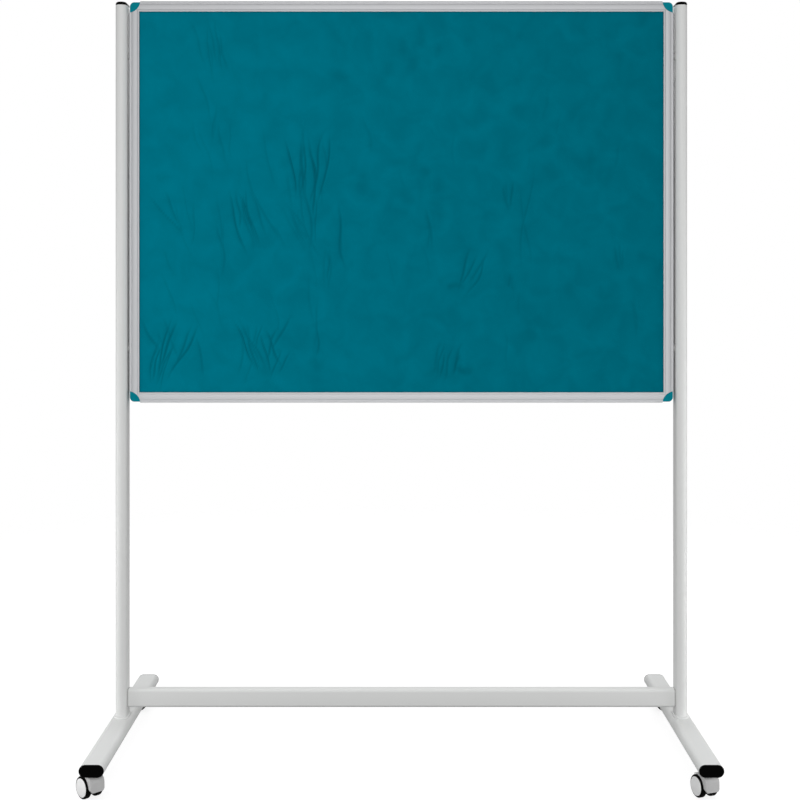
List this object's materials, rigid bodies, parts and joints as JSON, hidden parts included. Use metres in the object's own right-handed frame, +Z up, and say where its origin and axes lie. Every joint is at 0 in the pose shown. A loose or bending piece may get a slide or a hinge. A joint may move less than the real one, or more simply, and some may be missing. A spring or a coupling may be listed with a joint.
{
  "type": "mobile pinboard",
  "caption": "Felt pinboard in an aluminium frame with coloured plastic corners, bolted between oval steel uprights on long feet with swivelling twin-wheel casters.",
  "frame": {"origin": "on the floor under the middle of the board", "axes": "+Z up, the front felt faces -Y, +X to the right seen from the front"},
  "size_m": [1.3144, 0.6, 1.652],
  "materials": {
    "powder_coat": "satin",
    "anodised_aluminium": "satin",
    "corner_plastic": "satin",
    "cap_plastic": "satin",
    "felt": "matte",
    "softboard": "matte",
    "spacer_plastic": "satin",
    "hood_plastic": "satin",
    "wheel_plastic": "satin",
    "disc_plastic": "satin",
    "zinc_steel": "satin"
  },
  "bodies": {
    "stand": {"board_bolts": "zinc_steel", "board_core": "softboard", "board_nut_plates": "zinc_steel", "board_spacers": "spacer_plastic", "bottom_left_corner": "corner_plastic", "bottom_rail": "anodised_aluminium", "bottom_right_corner": "corner_plastic", "caster_nuts": "zinc_steel", "crossbar": "powder_coat", "crossbar_bolts": "zinc_steel", "front_felt": "felt", "front_left_caster_stem": "zinc_steel", "front_left_foot_cap": "cap_plastic", "front_right_caster_stem": "zinc_steel", "front_right_foot_cap": "cap_plastic", "left_crossbar_plug": "spacer_plastic", "left_foot": "powder_coat", "left_rail": "anodised_aluminium", "left_upright": "powder_coat", "left_upright_cap": "cap_plastic", "rear_felt": "felt", "rear_left_caster_stem": "zinc_steel", "rear_left_foot_cap": "cap_plastic", "rear_right_caster_stem": "zinc_steel", "rear_right_foot_cap": "cap_plastic", "right_crossbar_plug": "spacer_plastic", "right_foot": "powder_coat", "right_rail": "anodised_aluminium", "right_upright": "powder_coat", "right_upright_cap": "cap_plastic", "top_left_corner": "corner_plastic", "top_rail": "anodised_aluminium", "top_right_corner": "corner_plastic"},
    "front_left_swivel": {"front_left_caster_hood": "hood_plastic", "front_left_caster_axle": "zinc_steel"},
    "front_left_left_wheel": {"front_left_caster_left_wheel": "wheel_plastic", "front_left_caster_left_disc": "disc_plastic"},
    "front_left_right_wheel": {"front_left_caster_right_wheel": "wheel_plastic", "front_left_caster_right_disc": "disc_plastic"},
    "front_right_swivel": {"front_right_caster_hood": "hood_plastic", "front_right_caster_axle": "zinc_steel"},
    "front_right_left_wheel": {"front_right_caster_left_wheel": "wheel_plastic", "front_right_caster_left_disc": "disc_plastic"},
    "front_right_right_wheel": {"front_right_caster_right_wheel": "wheel_plastic", "front_right_caster_right_disc": "disc_plastic"},
    "rear_left_swivel": {"rear_left_caster_hood": "hood_plastic", "rear_left_caster_axle": "zinc_steel"},
    "rear_left_left_wheel": {"rear_left_caster_left_wheel": "wheel_plastic", "rear_left_caster_left_disc": "disc_plastic"},
    "rear_left_right_wheel": {"rear_left_caster_right_wheel": "wheel_plastic", "rear_left_caster_right_disc": "disc_plastic"},
    "rear_right_swivel": {"rear_right_caster_hood": "hood_plastic", "rear_right_caster_axle": "zinc_steel"},
    "rear_right_left_wheel": {"rear_right_caster_left_wheel": "wheel_plastic", "rear_right_caster_left_disc": "disc_plastic"},
    "rear_right_right_wheel": {"rear_right_caster_right_wheel": "wheel_plastic", "rear_right_caster_right_disc": "disc_plastic"}
  },
  "joints": [
    {"name": "front_left_swivel_turn", "type": "hinge", "parent": "stand", "child": "front_left_swivel", "pos_m": [-0.6155, -0.274, 0.05], "axis": [0, 0, 1], "continuous": true},
    {"name": "front_left_left_wheel_spin", "type": "hinge", "parent": "front_left_swivel", "child": "front_left_left_wheel", "pos_m": [-0.62731, -0.26177, 0.0225], "axis": [0.7193, 0.6947, 0], "continuous": true},
    {"name": "front_left_right_wheel_spin", "type": "hinge", "parent": "front_left_swivel", "child": "front_left_right_wheel", "pos_m": [-0.62731, -0.26177, 0.0225], "axis": [0.7193, 0.6947, 0], "continuous": true},
    {"name": "front_right_swivel_turn", "type": "hinge", "parent": "stand", "child": "front_right_swivel", "pos_m": [0.6155, -0.274, 0.05], "axis": [0, 0, 1], "continuous": true},
    {"name": "front_right_left_wheel_spin", "type": "hinge", "parent": "front_right_swivel", "child": "front_right_left_wheel", "pos_m": [0.60969, -0.25803, 0.0225], "axis": [0.9397, 0.342, 0], "continuous": true},
    {"name": "front_right_right_wheel_spin", "type": "hinge", "parent": "front_right_swivel", "child": "front_right_right_wheel", "pos_m": [0.60969, -0.25803, 0.0225], "axis": [0.9397, 0.342, 0], "continuous": true},
    {"name": "rear_left_swivel_turn", "type": "hinge", "parent": "stand", "child": "rear_left_swivel", "pos_m": [-0.6155, 0.274, 0.05], "axis": [0, 0, 1], "continuous": true},
    {"name": "rear_left_left_wheel_spin", "type": "hinge", "parent": "rear_left_swivel", "child": "rear_left_left_wheel", "pos_m": [-0.63224, 0.27695, 0.0225], "axis": [0.1736, 0.9848, 0], "continuous": true},
    {"name": "rear_left_right_wheel_spin", "type": "hinge", "parent": "rear_left_swivel", "child": "rear_left_right_wheel", "pos_m": [-0.63224, 0.27695, 0.0225], "axis": [0.1736, 0.9848, 0], "continuous": true},
    {"name": "rear_right_swivel_turn", "type": "hinge", "parent": "stand", "child": "rear_right_swivel", "pos_m": [0.6155, 0.274, 0.05], "axis": [0, 0, 1], "continuous": true},
    {"name": "rear_right_left_wheel_spin", "type": "hinge", "parent": "rear_right_swivel", "child": "rear_right_left_wheel", "pos_m": [0.63224, 0.27695, 0.0225], "axis": [0.1736, -0.9848, 0], "continuous": true},
    {"name": "rear_right_right_wheel_spin", "type": "hinge", "parent": "rear_right_swivel", "child": "rear_right_right_wheel", "pos_m": [0.63224, 0.27695, 0.0225], "axis": [0.1736, -0.9848, 0], "continuous": true}
  ]
}
